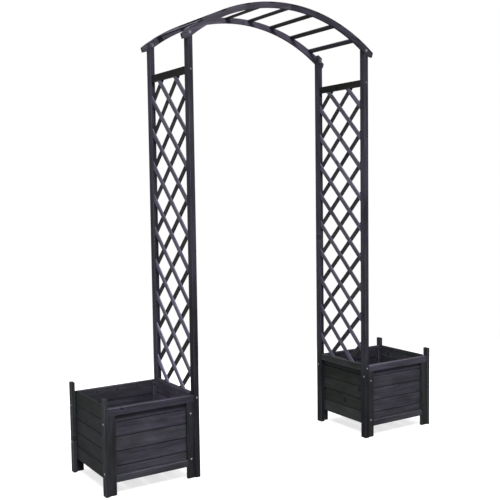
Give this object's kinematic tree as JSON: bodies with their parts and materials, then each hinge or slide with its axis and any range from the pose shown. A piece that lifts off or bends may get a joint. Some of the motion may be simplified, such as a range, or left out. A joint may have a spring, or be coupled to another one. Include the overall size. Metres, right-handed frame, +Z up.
{
  "type": "garden arch",
  "caption": "Wooden garden arch: lattice towers on planter boxes, joined by two curved beams with flat rungs, for climbing plants.",
  "frame": {"origin": "on the ground, in the middle of the passage", "axes": "+X across the passage, from the left planter to the right one; +Y from front to back, through the passage; +Z up"},
  "size_m": [1.801, 0.401, 2.057],
  "materials": {
    "stained_wood": "anthracite stain, matt",
    "stained_slats": "anthracite stain, matt",
    "steel": "zinc plated"
  },
  "bodies": {
    "root": {"left_front_post": "stained_wood", "left_rear_post": "stained_wood", "left_tower_top_rail": "stained_wood", "left_tower_base_rail": "stained_wood", "left_lattice_outer_slats": "stained_slats", "left_lattice_inner_slats": "stained_slats", "left_front_leg": "stained_wood", "left_rear_leg": "stained_wood", "left_front_outer_stile": "stained_wood", "left_front_inner_stile": "stained_wood", "left_rear_outer_stile": "stained_wood", "left_rear_inner_stile": "stained_wood", "left_front_top_rail": "stained_wood", "left_rear_top_rail": "stained_wood", "left_front_bottom_rail": "stained_wood", "left_rear_bottom_rail": "stained_wood", "left_front_boards": "stained_wood", "left_rear_boards": "stained_wood", "left_side_boards": "stained_wood", "left_passage_boards": "stained_wood", "left_corner_battens": "stained_wood", "left_floor_bearers": "stained_wood", "left_floor_slats": "stained_wood", "left_screws": "steel", "right_front_post": "stained_wood", "right_rear_post": "stained_wood", "right_tower_top_rail": "stained_wood", "right_tower_base_rail": "stained_wood", "right_lattice_outer_slats": "stained_slats", "right_lattice_inner_slats": "stained_slats", "right_front_leg": "stained_wood", "right_rear_leg": "stained_wood", "right_front_outer_stile": "stained_wood", "right_front_inner_stile": "stained_wood", "right_rear_outer_stile": "stained_wood", "right_rear_inner_stile": "stained_wood", "right_front_top_rail": "stained_wood", "right_rear_top_rail": "stained_wood", "right_front_bottom_rail": "stained_wood", "right_rear_bottom_rail": "stained_wood", "right_front_boards": "stained_wood", "right_rear_boards": "stained_wood", "right_side_boards": "stained_wood", "right_passage_boards": "stained_wood", "right_corner_battens": "stained_wood", "right_floor_bearers": "stained_wood", "right_floor_slats": "stained_wood", "right_screws": "steel", "front_left_beam": "stained_wood", "front_right_beam": "stained_wood", "rear_left_beam": "stained_wood", "rear_right_beam": "stained_wood", "left_rungs": "stained_wood", "right_rungs": "stained_wood", "bolts": "steel", "washers": "steel", "nuts": "steel"}
  },
  "joints": []
}
